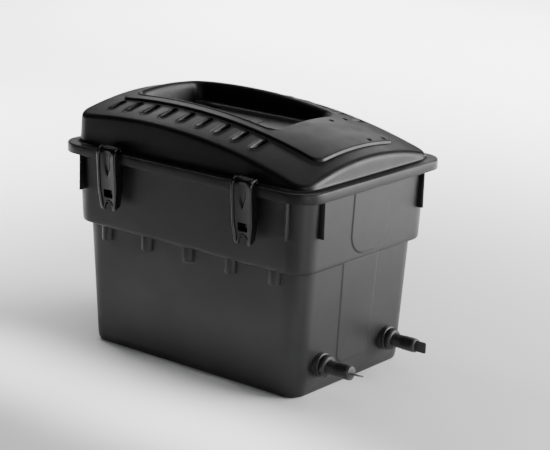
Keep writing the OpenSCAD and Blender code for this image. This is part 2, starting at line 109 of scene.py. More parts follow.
def add_studio():
    # a pale backdrop behind the floor that adds almost no light of its own
    world = bpy.data.worlds.new("studio")
    world.use_nodes = True
    tree = world.node_tree
    ambient = tree.nodes["Background"]
    ambient.inputs["Color"].default_value = (1, 1, 1, 1)
    ambient.inputs["Strength"].default_value = 0.02
    backdrop = tree.nodes.new("ShaderNodeBackground")
    backdrop.inputs["Color"].default_value = (1, 1, 1, 1)
    backdrop.inputs["Strength"].default_value = 0.8
    path = tree.nodes.new("ShaderNodeLightPath")
    mix = tree.nodes.new("ShaderNodeMixShader")
    tree.links.new(path.outputs["Is Camera Ray"], mix.inputs[0])
    tree.links.new(ambient.outputs[0], mix.inputs[1])
    tree.links.new(backdrop.outputs[0], mix.inputs[2])
    tree.links.new(mix.outputs[0], tree.nodes["World Output"].inputs["Surface"])
    bpy.context.scene.world = world
    area_light("key_back_right", (2.5, 1.9, 1.0), (0.1, 0.0, 0.25), (2.4, 1.8), 265)
    area_light("top_back", (-1.5, 2.3, 1.8), (-0.1, 0.0, 0.4), (2.2, 1.0), 24)
    area_light("edge_left", (-1.8, 0.3, 2.5), (0.0, 0.0, 0.4), (0.6, 0.9), 15)
    area_light("overhead", (0.2, 0.3, 3.2), (0.1, 0.2, 0.0), (2.0, 2.0), 16)
    area_light("corner_right", (2.55, -1.4, 0.4), (0.25, -0.17, 0.2), (0.4, 0.9), 28)
    # these only light the floor
    area_light("floor_front", (0.0, -0.34, 0.9), (0.0, -0.36, 0.0), (0.9, 0.12), 1.15, 24)
    area_light("floor_back", (-1.2, 3.2, 3.0), (-1.2, 3.2, 0.0), (5.0, 3.0), 330, 60)
    area_light("floor_left", (-1.9, 0.2, 2.6), (-1.9, 0.2, 0.0), (1.8, 2.4), 65, 45)

    floor_mesh = bpy.data.meshes.new("floor")
    s = FLOOR_HALF
    floor_mesh.from_pydata([(-s, -s, 0), (s, -s, 0), (s, s, 0), (-s, s, 0)], [], [(0, 1, 2, 3)])
    floor = put("floor", floor_mesh)
    floor.location.z = cad_box[0][2] - FLOOR_GAP
    material = bpy.data.materials.new("floor_white")
    material.use_nodes = True
    shader = material.node_tree.nodes["Principled BSDF"]
    shader.inputs["Base Color"].default_value = (FLOOR_WHITE,) * 3 + (1,)
    shader.inputs["Roughness"].default_value = 0.9
    floor_mesh.materials.append(material)


# ---- mesh helpers

MM = 0.001


def rounded(x0, x1, y0, y1, r):
    """Outline of a rounded rectangle, in millimetres."""
    return dict(x0=x0, x1=x1, y0=y0, y1=y1, r=r)


def centred(length, width, r, cx=0.0):
    return rounded(cx - length / 2, cx + length / 2, -width / 2, width / 2, r)


def corner_run(outline, sx, sy, x_from, y_to, count):
    """Points around one corner, from the long side at x_from to the short side at y_to."""
    r = outline["r"]
    cx = (outline["x1"] - r) if sx > 0 else -(outline["x0"] + r)
    cy = (outline["y1"] - r) if sy > 0 else -(outline["y0"] + r)
    xf, yt = sx * x_from, sy * y_to
    start = math.asin(np.clip((xf - cx) / r, 0, 1))
    stop = math.acos(np.clip((yt - cy) / r, 0, 1))
    a = np.linspace(start, stop, 33)
    px = np.concatenate(([min(xf, cx)], cx + r * np.sin(a), [cx + r * math.sin(stop)]))
    py = np.concatenate(([cy + r * math.cos(start)], cy + r * np.cos(a), [min(yt, cy)]))
    run = np.concatenate(([0.0], np.cumsum(np.hypot(np.diff(px), np.diff(py)))))
    at = run[-1] * np.arange(1, count + 1) / (count + 1)
    return np.stack((sx * np.interp(at, run, px), sy * np.interp(at, run, py)), 1)


def side_points(outline, xs, sy):
    """Points on the front (sy=-1) or back (sy=1) side at the given x."""
    r = outline["r"]
    over = np.maximum(np.maximum(xs - (outline["x1"] - r), outline["x0"] + r - xs), 0)
    y_side = outline["y1"] if sy > 0 else outline["y0"]
    return np.stack((xs, y_side - sy * (r - np.sqrt(np.maximum(r * r - over**2, 0)))), 1)


def end_points(outline, ys, sx):
    """Points on the left (sx=-1) or right (sx=1) end at the given y."""
    r = outline["r"]
    over = np.maximum(np.maximum(ys - (outline["y1"] - r), outline["y0"] + r - ys), 0)
    x_side = outline["x1"] if sx > 0 else outline["x0"]
    return np.stack((x_side - sx * (r - np.sqrt(np.maximum(r * r - over**2, 0))), ys), 1)


def loop(outline, xs, ys, corner):
    """Closed loop of plan points, counter-clockwise from the front left."""
    c = {}
    for sx, sy in ((1, -1), (1, 1), (-1, 1), (-1, -1)):
        x_from = xs[-1] if sx > 0 else xs[0]
        y_to = ys[-1] if sy > 0 else ys[0]
        c[sx, sy] = corner_run(outline, sx, sy, x_from, y_to, corner)
    return np.concatenate((
        side_points(outline, xs, -1), c[1, -1], end_points(outline, ys, 1), c[1, 1][::-1],
        side_points(outline, xs[::-1], 1), c[-1, 1], end_points(outline, ys[::-1], -1),
        c[-1, -1][::-1],
    ))


def grow(outline, by):
    """The same outline, moved outward."""
    return rounded(outline["x0"] - by, outline["x1"] + by, outline["y0"] - by,
                   outline["y1"] + by, max(outline["r"] + by, 0.5))


def lift(plan, z):
    """Plan points with a height each, as one loop in space."""
    return np.column_stack((plan, np.broadcast_to(z, len(plan))))


def smooth(edge0, edge1, x):
    t = np.clip((x - edge0) / (edge1 - edge0), 0, 1)
    return t * t * (3 - 2 * t)


def settle(obj, material, body, node):
    """A piece's material, the body it rides on and the CAD node it stands for."""
    obj.data.materials.append(material)
    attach(obj, body)
    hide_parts(node)
    return obj


def ring_faces(loops, n, first=0):
    """Quads between each loop and the next."""
    faces = []
    for k in range(loops - 1):
        a, b = first + k * n, first + (k + 1) * n
        faces += [(a + i, a + (i + 1) % n, b + (i + 1) % n, b + i) for i in range(n)]
    return faces


# ---- lid

RIM_L, RIM_W, RIM_R = 555.0, 400.0, 45.0
RIM_Z, RIM_H = 366.0, 17.0
FLANGE = 19.0
ARCH_Z, ARCH_X, ARCH_R = 427.4, -90.0, 1100.0
CROWN, CROWN_Y = 24.0, 176.0
STEP = 5.0  # height of the raised top
TRAY_FLOOR = 412.0
FLUTE_X = [-195 + 40 * k for k in range(9)]
FLUTE_IN, FLUTE_OUT, FLUTE_HALF = 120.5, 150.0, 6.0
CLIP_X = 150.0  # middle of each clip and its hinge
HINGE_Y, HINGE_Z = 195.0, 371.5
KNUCKLE_R = 5.0
STUD_X, PAD_Y, PAD_H = (-24.0, -13.0), 8.0, 1.5
RECESS_X, RECESS_Y = (137.0, 219.0), (45.0, 86.0)
HOLE = ((-157.0, -119.0), (38.0, 58.0))  # opening in the tray's floor


def dome(x, y):
    radius = ARCH_R + CROWN * (1 - (y / CROWN_Y) ** 2)
    return ARCH_Z - ARCH_R + np.sqrt(radius**2 - (x - ARCH_X) ** 2)


def fluted(x, y):
    """Dome height with blind flutes pressed in, each with a low rolled rim."""
    z = dome(x, y)
    for fx in FLUTE_X:
        along = np.clip(np.abs(y), FLUTE_IN, FLUTE_OUT)
        away = np.hypot(x - fx, np.abs(y) - along)
        floor = dome(fx, FLUTE_OUT) - 2.6 + 0.05 * (x - fx) ** 2
        floor = floor - 3.0 * smooth(134, 120, np.abs(y))
        inside = 1 - smooth(FLUTE_HALF - 1.4, FLUTE_HALF + 0.3, away)
        z = np.where(away < FLUTE_HALF + 1, z - np.maximum(z - floor, 0) * inside, z)
        z = z + 1.3 * np.exp(-(((away - FLUTE_HALF - 1.0) / 1.0) ** 2))
    return z


def recessed(x, y):
    """Depth of the small square recesses on the raised top."""
    depth = np.zeros_like(x)
    for rx in RECESS_X:
        for ry in RECESS_Y:
            side = np.maximum(np.abs(x - rx), np.abs(y - ry))
            depth += 3.0 * (1 - smooth(2.6, 3.9, side))
    return depth


def lid_stations():
    """x and y of the lines that run across the lid, close together at the flutes."""
    side = np.array([1.2, 2.5, 3.7, 4.6, 5.2, 5.8, 6.4, 7.0, 7.7, 8.6])
    offsets = np.concatenate((-side[::-1], [0.0], side))
    xs = []
    for k, fx in enumerate(FLUTE_X):
        xs += list(fx + offsets)
        if k + 1 < len(FLUTE_X):
            xs += list(np.linspace(fx + side[-1], FLUTE_X[k + 1] - side[-1], 6)[1:-1])
    xs += list(np.linspace(xs[-1], 208, 14)[1:])
    return np.array(xs, float), np.linspace(-84, 84, 107)


def tray_floor(vertices, faces, last, n, z, floor, facing):
    """Square grid inside the loop that starts at vertex last, with the opening left out."""
    outline, nx, ny, m = floor
    gx = np.linspace(outline["x0"] + 3, outline["x1"] - 3, nx)
    gy = np.linspace(outline["y0"] + 3, outline["y1"] - 3, ny)
    for axis, values in ((0, gx), (1, gy)):  # two lines run exactly along the opening's edges
        for edge in HOLE[axis]:
            values[np.argmin(np.abs(values - edge))] = edge
    away = np.hypot(gx[:, None] - np.clip(gx, -80, -20)[:, None], gy[None, :] - PAD_Y)
    pad = PAD_H * (1 - smooth(28.8, 31.2, away)) if facing > 0 else np.zeros_like(away)
    grid = np.stack(np.broadcast_arrays(gx[:, None], gy[None, :], z + pad), 2).reshape(-1, 3)
    first = len(vertices)
    at = lambda i, j: first + i * ny + j
    border = [at(i, 0) for i in range(nx)] + [at(nx - 1, j) for j in range(1, ny)]
    border += [at(i, ny - 1) for i in range(nx - 2, -1, -1)]
    border += [at(0, j) for j in range(ny - 2, 0, -1)]
    ring = [last + (k - m - 1) % n for k in range(n)]  # starts in the middle of a corner
    quads = [(ring[k], ring[(k + 1) % n], border[(k + 1) % n], border[k]) for k in range(n)]
    mid_x, mid_y = (gx[:-1] + gx[1:]) / 2, (gy[:-1] + gy[1:]) / 2
    open_x = (mid_x > HOLE[0][0]) & (mid_x < HOLE[0][1])
    open_y = (mid_y > HOLE[1][0]) & (mid_y < HOLE[1][1])
    for i in range(nx - 1):
        for j in range(ny - 1):
            if not (open_x[i] and open_y[j]):
                quads.append((at(i, j), at(i + 1, j), at(i + 1, j + 1), at(i, j + 1)))
    if facing < 0:
        quads = [tuple(reversed(q)) for q in quads]
    return np.concatenate((vertices, grid)), faces + quads


def lid_mesh():
    xs, ys = lid_stations()
    corner = 25  # odd: the middle point is a corner of the tray floor's grid
    rim = centred(RIM_L, RIM_W, RIM_R)
    wall = centred(RIM_L - 2 * FLANGE, RIM_W - 2 * FLANGE, 34.0)
    plan = lambda outline: loop(outline, xs, ys, corner)
    loops = []

    def add(inset, z):
        loops.append(lift(plan(grow(rim, -inset)), z))

    # skirt and flange
    for inset, z in ((3.0, RIM_Z - 5), (3.0, RIM_Z - RIM_H + 1.2), (2.6, RIM_Z - RIM_H + 0.3),
                     (1.9, RIM_Z - RIM_H), (1.0, RIM_Z - RIM_H), (0.3, RIM_Z - RIM_H + 0.3),
                     (0.0, RIM_Z - RIM_H + 1.1), (0.0, RIM_Z - 8), (0.0, RIM_Z - 2.6),
                     (0.2, RIM_Z - 1.5), (0.75, RIM_Z - 0.6), (1.5, RIM_Z - 0.15),
                     (2.6, RIM_Z), (8, RIM_Z), (14, RIM_Z)):
        add(inset, z)

    # foot fillet, wall and rounded edge; both shrink where the wall is low
    wall_in = plan(grow(wall, -2.5))
    height = dome(wall_in[:, 0], wall_in[:, 1]) - RIM_Z
    foot = np.minimum(4.0, 0.38 * height)
    edge = np.minimum(8.0, 0.6 * height)
    outward = plan(wall) - plan(grow(wall, -1.0))

    def inset_plan(inset):
        """The wall's outline moved in by a different amount at each point."""
        return plan(wall) - outward * inset[:, None]

    for a in np.radians([0, 22, 45, 68, 90]):
        loops.append(lift(inset_plan(-foot * (1 - np.sin(a))), RIM_Z + foot * (1 - np.cos(a))))
    lean = lambda z: 0.05 * (z - RIM_Z)
    top = RIM_Z + height
    for t in (0.35, 0.7):
        z = RIM_Z + foot + (top - edge - RIM_Z - foot) * t
        loops.append(lift(inset_plan(lean(z)), z))
    for a in np.radians([0, 15, 30, 45, 60, 75, 90]):
        inset = lean(top - edge) + edge * (1 - np.cos(a))
        p = inset_plan(inset)
        z = dome(p[:, 0], p[:, 1]) - edge * (1 - np.sin(a))
        loops.append(lift(p, z))
    shoulder = loops[-1][:, :2]

    # fluted band up to the raised top
    raised = centred(443, 218, 20, 7.5)
    raised_plan = plan(raised)
    ts = np.concatenate((np.linspace(0, 0.2, 4)[1:], np.linspace(0.2, 0.97, 52)[1:], [1.0]))
    for t in ts:
        p = shoulder * (1 - t) + raised_plan * t
        loops.append(lift(p, fluted(p[:, 0], p[:, 1])))

    # step of the raised top: small fillet, steep face, rounded edge
    for e, h in ((0.5, 0.1), (0.9, 0.5), (1.2, 1.2), (1.7, 3.3), (2.0, 4.1), (2.5, 4.7),
                 (3.2, 4.95), (4.2, STEP)):
        p = plan(grow(raised, -e))
        loops.append(lift(p, dome(p[:, 0], p[:, 1]) + h))
    band_plan = loops[-1][:, :2]

    # band between the step and the tray, with a low lip around the tray
    tray_rim = rounded(-196, 121, -87, 87, 24)
    to_tray = lambda v, lo, hi: lo + (v - v[0]) / (v[-1] - v[0]) * (hi - lo)
    tray_plan = lambda o: loop(o, to_tray(xs, o["x0"] + o["r"], o["x1"] - o["r"]),
                               to_tray(ys, o["y0"] + o["r"], o["y1"] - o["r"]), corner)
    lip_plan = tray_plan(grow(tray_rim, 5.5))
    p_rim = tray_plan(tray_rim)
    ramp_side = tray_plan(grow(tray_rim, 1)) - p_rim
    ramp = np.clip(ramp_side[:, 0] / np.hypot(*ramp_side.T), 0, 1) ** 2
    lip_height = 1 - smooth(0.2, 0.7, ramp)  # the lip runs out at the ramp
    for t in np.linspace(0, 1, 60)[1:]:
        p = band_plan * (1 - t) + lip_plan * t
        loops.append(lift(p, dome(p[:, 0], p[:, 1]) + STEP - recessed(p[:, 0], p[:, 1])))
    for out, h in ((5.0, 0.15), (4.5, 0.7), (4.0, 1.2), (3.4, 1.4), (2.6, 1.4), (1.6, 1.15),
                   (0.8, 0.7), (0.0, 0.0)):
        p = tray_plan(grow(tray_rim, out))
        loops.append(lift(p, dome(p[:, 0], p[:, 1]) + STEP + h * lip_height))

    # tray wall: rounded over, straight, then a wide fillet; a hollow ramp at the right end
    z_rim = loops[-1][:, 2]
    tray_foot = rounded(-180, 74, -73, 73, 15)
    p_foot = tray_plan(tray_foot)
    across = np.array([0.07, 0.14, 0.21, 0.28, 0.34, 0.40, 0.46, 0.53, 0.59, 0.64, 0.69, 0.75,
                       0.82, 0.89, 0.95, 1.0])
    down = np.array([0.02, 0.06, 0.12, 0.20, 0.29, 0.40, 0.52, 0.65, 0.76, 0.84, 0.90, 0.945,
                     0.975, 0.99, 0.998, 1.0])
    s = np.linspace(0, 1, len(across) + 1)[1:]
    for f_wall, g_wall, f_ramp in zip(across, down, s):
        g_ramp = np.clip(1 - (1 - f_ramp) ** 2.1, 0, 1)
        f = (1 - ramp) * f_wall + ramp * f_ramp
        g = (1 - ramp) * g_wall + ramp * g_ramp
        p = p_rim * (1 - f[:, None]) + p_foot * f[:, None]
        loops.append(lift(p, z_rim * (1 - g) + TRAY_FLOOR * g))

    n = len(loops[0])
    vertices = np.concatenate(loops)
    faces = ring_faces(len(loops), n)

    m = (corner - 1) // 2
    floor = (tray_foot, len(xs) + 2 * m + 2, len(ys) + 2 * m + 2, m)
    vertices, faces = tray_floor(vertices, faces, (len(loops) - 1) * n, n, TRAY_FLOOR, floor, 1)

    # underside, simpler: flange, wall, roof, the tray's outside
    under = [lift(plan(grow(rim, -3.0)), RIM_Z - 4.0), lift(plan(grow(wall, -1.5)), RIM_Z - 4.0)]
    inner = plan(grow(wall, -3.5))
    inner_top = np.maximum(dome(inner[:, 0], inner[:, 1]) - 5.5, RIM_Z - 3.0)
    under.append(lift(inner, RIM_Z - 3.5))
    under.append(lift(inner, inner_top))
    p = plan(grow(wall, -7.0))
    under.append(lift(p, dome(p[:, 0], p[:, 1]) - 12.0))
    for t, down in ((0.3, 12.5), (0.6, 16.0), (0.85, 12.0), (1.0, 3.5)):
        q = p * (1 - t) + tray_plan(grow(tray_rim, 3)) * t
        under.append(lift(q, dome(q[:, 0], q[:, 1]) - down))
    hem = under[-1][:, 2]
    for t in (0.5, 1.0):
        f = (1 - ramp) * 0.6 * t + ramp * t
        q = tray_plan(grow(tray_rim, 3)) * (1 - f[:, None]) + p_foot * f[:, None]
        under.append(lift(q, hem * (1 - t) + (TRAY_FLOOR - 3) * t))
    first = len(vertices)
    faces += [(i + 1 if i + 1 < n else 0, i, first + i, first + (i + 1) % n) for i in range(n)]
    faces += [tuple(reversed(f)) for f in ring_faces(len(under), n, first)]
    vertices = np.concatenate((vertices, *under))
    last = first + (len(under) - 1) * n
    vertices, faces = tray_floor(vertices, faces, last, n, TRAY_FLOOR - 3, floor, -1)
    chunks = [(vertices, faces)]
    chunks += [knuckle(x, y) for x in (-CLIP_X, CLIP_X) for y in (-HINGE_Y, HINGE_Y)]
    for x in STUD_X:  # two small studs on the pad
        stud = turned([(2.0, 0), (1.9, 0.6), (1.4, 1.1), (0.6, 1.4)], 20)
        chunks.append(placed(stud, Matrix.Translation((x, PAD_Y, TRAY_FLOOR + PAD_H - 0.1))))
    return join_meshes("lid_shell", chunks, 60)


def knuckle(x, y):
    """Hinge knuckle on the flange: a barrel with a foot, the pin runs through it."""
    r = KNUCKLE_R
    side = [(r * math.cos(a), r * math.sin(a)) for a in np.radians(np.arange(0, 181, 15))]
    side += [(-r - 1.2, RIM_Z - HINGE_Z - 0.4), (r + 1.2, RIM_Z - HINGE_Z - 0.4)]
    loops = []
    for inset, at in ((0.8, -15.5), (0.2, -15.2), (0, -14.6), (0, 14.6), (0.2, 15.2), (0.8, 15.5)):
        k = 1 - inset / r
        loops.append(np.array([(x + at, y + a * k, HINGE_Z + b * k) for a, b in side]))
    return stack(loops)


# ---- tank

FOOT_L, FOOT_W, FOOT_R = 466.0, 311.0, 30.0
LOW_SLOPE, LOW_H = 13.0 / 224.0, 224.0
STEP_L, STEP_W, STEP_R = 512.0, 357.0, 38.0
TOP_SLOPE = 6.0 / 125.0
TANK_WALL = 4.0
PLATE_L, PLATE_W, PLATE_R = 547.4, 378.0, 41.2  # rim plate
PLATE_Z, PLATE_H = 352.0, 4.0
POCKET_Y, POCKET_R = 165.5, 12.0
FIN_Z, FIN_HALF, FIN_REACH = 284.0, 1.5, 7.5
POCKET_X = [5 + 94 * k for k in range(-2, 3)]
DRAIN_Y, DRAIN_Z = 95.0, 52.0
INLET_Z, OUTLET_Y, OUTLET_Z = 316.0, 95.0, 270.0


def upper_panel(y, z):
    """How far inside the upper end panel's outline a point is, in millimetres."""
    round_part = 40 - np.hypot(np.maximum(np.abs(y) - 11, 0), np.minimum(z - 274, 0))
    return np.where(z > 274, 51 - np.abs(y), round_part)


def lower_panel(y, z):
    """The same for the lower end panel, whose sides lean out towards the step."""
    half = 45 + 5 * np.clip((z - 58) / 168, 0, 1)
    y = np.abs(y + 3)
    round_part = 18 - np.hypot(np.maximum(y - 27, 0), np.minimum(z - 58, 0))
    return np.where(z > 58, half - y, round_part)


def taper(length, width, r, slope, rise, grow_by=0.0):
    return grow(centred(length, width, r), slope * rise + grow_by)


def join_meshes(name, chunks, sharp=45.0):
    """One object from several (vertices, faces) chunks in millimetres."""
    vertices, faces, first = [], [], 0
    for chunk_vertices, chunk_faces in chunks:
        vertices.append(np.asarray(chunk_vertices, float))
        faces += [tuple(first + i for i in f) for f in chunk_faces]
        first += len(chunk_vertices)
    mesh = bpy.data.meshes.new(name)
    mesh.from_pydata([tuple(v) for v in np.concatenate(vertices) * MM], [], faces)
    mesh.validate()
    mesh.polygons.foreach_set("use_smooth", [True] * len(mesh.polygons))
    mesh.set_sharp_from_angle(angle=math.radians(sharp))
    mesh.update()
    return put(name, mesh)


def stack(loops, close_start=True, close_end=True):
    """(vertices, faces) of a closed skin through loops with the same number of points."""
    n = len(loops[0])
    faces = ring_faces(len(loops), n)
    if close_start:
        faces.append(tuple(range(n - 1, -1, -1)))
    if close_end:
        faces.append(tuple((len(loops) - 1) * n + i for i in range(n)))
    return np.concatenate(loops), faces


def tube_loops(profile, segments=64):
    """Loops about +Z from (radius, height) points."""
    a = np.arange(segments) * 2 * math.pi / segments
    return [np.column_stack((r * np.cos(a), r * np.sin(a), np.full(segments, z)))
            for r, z in profile]


def turned(profile, segments=64, closed=False):
    """(vertices, faces) turned about +Z; a closed profile makes a ring with a bore."""
    loops = tube_loops(profile, segments)
    if closed:
        return stack(loops + loops[:1], False, False)
    return stack(loops)


def placed(chunk, matrix):
    vertices, faces = chunk
    m = np.array(matrix)
    return np.asarray(vertices) @ m[:3, :3].T + m[:3, 3], faces


def along_x(x, y, z, spin=0.0):
    """Matrix that turns +Z to +X and moves to (x, y, z); spin turns about the axis first."""
    turn = Matrix.Rotation(math.pi / 2, 4, "Y") @ Matrix.Rotation(math.radians(spin), 4, "Z")
    return Matrix.Translation((x, y, z)) @ turn


def against_x(x, y, z):
    return Matrix.Translation((x, y, z)) @ Matrix.Rotation(-math.pi / 2, 4, "Y")


def soft_block(x, y, z, bevel=0.6):
    """Box between the corner values in x, y and z, with bevelled edges."""
    b = bevel
    loops = []
    for inset, height in ((b, z[0]), (0, z[0] + b), (0, z[1] - b), (b, z[1])):
        x0, x1, y0, y1 = x[0] + inset, x[1] - inset, y[0] + inset, y[1] - inset
        plan = [(x0 + b, y0), (x1 - b, y0), (x1, y0 + b), (x1, y1 - b), (x1 - b, y1),
                (x0 + b, y1), (x0, y1 - b), (x0, y0 + b)]
        loops.append(lift(np.array(plan), height))
    return stack(loops)


def tank_stations():
    xs = np.linspace(-202, 202, 41)
    fine = np.arange(-58, 58.1, 1.2)
    ys = np.concatenate((np.linspace(-122, -60, 9), fine, np.linspace(60, 122, 9)))
    return xs, ys


def tank_mesh():
    xs, ys = tank_stations()
    corner = 17

    def ring(outline, z, mask=None, height=0.0):
        p = loop(outline, stretch(xs, outline, 0), stretch(ys, outline, 1), corner)
        points = lift(p, z)
        if mask is not None:
            push = height * smooth(-0.5, 1.1, mask(p[:, 1], points[:, 2]))
            on_end = np.abs(p[:, 0]) > outline["x1"] - 2
            points[:, 0] += np.sign(p[:, 0]) * push * on_end
        return points

    def stretch(values, outline, axis):
        """Stations kept on the straight part of each side."""
        limit = outline["x1"] - outline["r"] if axis == 0 else outline["y1"] - outline["r"]
        return values * min(1.0, limit / values[-1])

    low = lambda z, g=0.0: taper(FOOT_L, FOOT_W, FOOT_R, LOW_SLOPE, z, g)
    high = lambda z, g=0.0: taper(STEP_L, STEP_W, STEP_R, TOP_SLOPE, z - LOW_H, g)
    loops = []
    for a in np.radians([0, 15, 30, 45, 60, 75, 90]):
        loops.append(ring(low(0, -8 + 8 * np.sin(a)), 8 * (1 - np.cos(a)) * 1.1))
    fine = list(np.arange(12, 84, 1.6)) + list(np.arange(84, 218, 5.0)) + [219.5, 221.3]
    for z in fine:
        loops.append(ring(low(z), z, lower_panel, 1.2))
    for out, z in ((0.25, 222.3), (0.9, 223.0), (1.8, 223.3), (5.5, 223.4)):
        loops.append(ring(low(LOW_H, out), z))
    for a in np.radians([0, 22, 45, 68, 90]):
        loops.append(ring(high(LOW_H, -4.5 * (1 - np.sin(a))), 223.5 + 5 * (1 - np.cos(a))))
    fine = list(np.arange(231, 282, 1.3)) + list(np.arange(283, 350, 6.0)) + [PLATE_Z - 1]
    for z in fine:
        loops.append(ring(high(z), z, upper_panel, 1.5))
    plate = centred(PLATE_L, PLATE_W, PLATE_R)
    for outline, z in ((high(PLATE_Z), PLATE_Z), (grow(plate, -0.4), PLATE_Z),
                       (plate, PLATE_Z + 0.4), (plate, PLATE_Z + PLATE_H - 0.4),
                       (grow(plate, -0.4), PLATE_Z + PLATE_H)):
        loops.append(ring(outline, z))
    top = PLATE_Z + 8
    for g, z in ((0, PLATE_Z + PLATE_H), (0, top - 0.8), (-0.8, top), (-3.2, top), (-4, top - 0.8),
                 (-4, LOW_H + TANK_WALL + 1)):
        loops.append(ring(high(min(z, top), g), z))
    loops.append(ring(high(LOW_H, -TANK_WALL - 1), LOW_H + TANK_WALL))
    for g, z in ((-TANK_WALL + 0.8, LOW_H + TANK_WALL), (-TANK_WALL, LOW_H + TANK_WALL - 0.8),
                 (-TANK_WALL, 12), (-TANK_WALL - 2, 6), (-TANK_WALL - 6, TANK_WALL)):
        loops.append(ring(low(min(z, LOW_H), g), z))
    chunks = [stack(loops)]
    chunks += tank_fins()
    chunks += [pocket(x, s) for x in POCKET_X for s in (-1, 1)]
    chunks += [seat(21.5, 12.2, 11, along_x(229, s * DRAIN_Y, DRAIN_Z)) for s in (-1, 1)]
    chunks.append(seat(27, 21.2, 10, against_x(-254, 0, INLET_Z)))
    chunks.append(seat(35, 29, 10, against_x(-253, OUTLET_Y, OUTLET_Z)))
    return join_meshes("tank_shell", chunks)


def seat(outer, inner, height, matrix):
    """Raised round seat for a fitting, with a bore."""
    profile = [(outer, 0), (outer, height - 0.6), (outer - 0.6, height), (inner, height),
               (inner, 0)]
    return placed(turned(profile, 64, True), matrix)


def tank_fins():
    """Upright ribs under the rim, two on each side."""
    z = (FIN_Z, PLATE_Z + 0.5)
    chunks = []
    for s in (-1, 1):
        for x in (-229, 229):
            y = sorted((s * 179.5, s * (RIM_W / 2 - FIN_REACH)))
            chunks.append(soft_block((x - FIN_HALF, x + FIN_HALF), y, z, 0.5))
        for y in (-141, 141):
            x = sorted((s * 257.0, s * (RIM_L / 2 - FIN_REACH)))
            chunks.append(soft_block(x, (y - FIN_HALF, y + FIN_HALF), z, 0.5))
    return chunks


def pocket(x, s):
    """Half-round pocket under the step, with a rounded lower edge."""
    a = np.radians(np.arange(180, 361, 7.5))
    loops = []
    for inset, z in ((2.2, 198.0), (0.9, 198.4), (0.25, 199.1), (0.0, 200.2), (0.0, LOW_H)):
        r = POCKET_R - inset
        p = np.column_stack((x + r * np.cos(a), s * (POCKET_Y - r * np.sin(a))))
        p = np.concatenate((p, [[x + r, s * 160.0], [x - r, s * 160.0]]))
        if s > 0:
            p = p[::-1]
        loops.append(lift(p, z))
    return stack(loops)


# ---- clips

CLIP_W, CLIP_RAIL = 44.0, 5.5
# side view of the rails' outer and inner edges, as (distance outward, height)
RAIL_OUT = [(198.5, 376.3), (203.0, 376.4), (208.0, 374.6), (211.0, 370.6), (212.0, 365.0),
            (211.4, 350.0), (208.6, 310.0), (206.4, 280.0), (205.4, 264.2)]
RAIL_IN = [(200.6, 366.4), (200.6, 357.0), (200.6, 349.0), (195.0, 348.2), (190.2, 345.0),
           (190.2, 320.0), (190.2, 296.0), (190.2, 273.0)]
# the web between the rails, outer face, and how thick it is
WEB_OUT = [(203.5, 374.8), (206.4, 372.4), (208.2, 368.0), (208.6, 363.0), (208.2, 350.0),
           (205.4, 310.0), (203.2, 280.0), (202.2, 264.2)]
WEB_T = 2.8
WEB_HALF, WEB_HOLLOW = 18.0, 1.3  # the front is slightly hollow across
WINDOW_HALF, WINDOW_Z = 10.4, (286.5, 301.5)
TAIL_ARCH_R, TAIL_ARCH_Z = 9.0, 272.0
BOX_Y = (-202.6, -193.0)  # depth of the box behind the window


def resample(points, count):
    """Evenly spaced points along a smooth line through a few points."""
    p = np.array(points, float)
    run = np.concatenate(([0], np.cumsum(np.hypot(*np.diff(p, axis=0).T))))
    at = np.linspace(0, run[-1], count)
    line = np.column_stack([np.interp(at, run, p[:, k]) for k in (0, 1)])
    for _ in range(3):
        line[1:-1] = 0.25 * line[:-2] + 0.5 * line[1:-1] + 0.25 * line[2:]
    return line


def clip_half_width(z):
    """The clip narrows towards its tail."""
    return CLIP_W / 2 - 4.5 * smooth(306, 262, z) - 0.3


def rail_piece(side):
    """One upright side rail with rounded outer edges."""
    count = 40
    outer, inner = resample(RAIL_OUT, count), resample(RAIL_IN, count)
    ends = (0.75, 0.35, 0.1)
    rows = []
    for k in range(count):
        x_out = side * clip_half_width(outer[k, 1])
        x_in = x_out - side * CLIP_RAIL
        o, i = outer[k], inner[k]
        from_end = min(k, count - 1 - k)
        if from_end < 3:  # rounded ends
            o = o + (i - o) * ends[from_end] * 0.16
        d = (o - i) / max(np.hypot(*(o - i)), 0.1)
        section = []
        for a in np.radians([0, 22, 45, 67, 90]):  # outer edge on the outside of the clip
            section.append((x_out - side * 2.9 * (1 - np.cos(a)), o - d * 2.9 * (1 - np.sin(a))))
        for a in np.radians([90, 67, 45, 22, 0]):
            section.append((x_in + side * 2.3 * (1 - np.cos(a)), o - d * 2.3 * (1 - np.sin(a))))
        section += [(x_in, i + d * 0.4), (x_in + side * 0.4, i), (x_out - side * 0.4, i),
                    (x_out, i + d * 0.4)]
        row = [(x, -yz[0], yz[1]) for x, yz in section]
        rows.append(np.array(row if side < 0 else row[::-1]))
    return stack(rows[::-1])


def hollow(x):
    return WEB_HOLLOW * (1 - (x / WEB_HALF) ** 2)


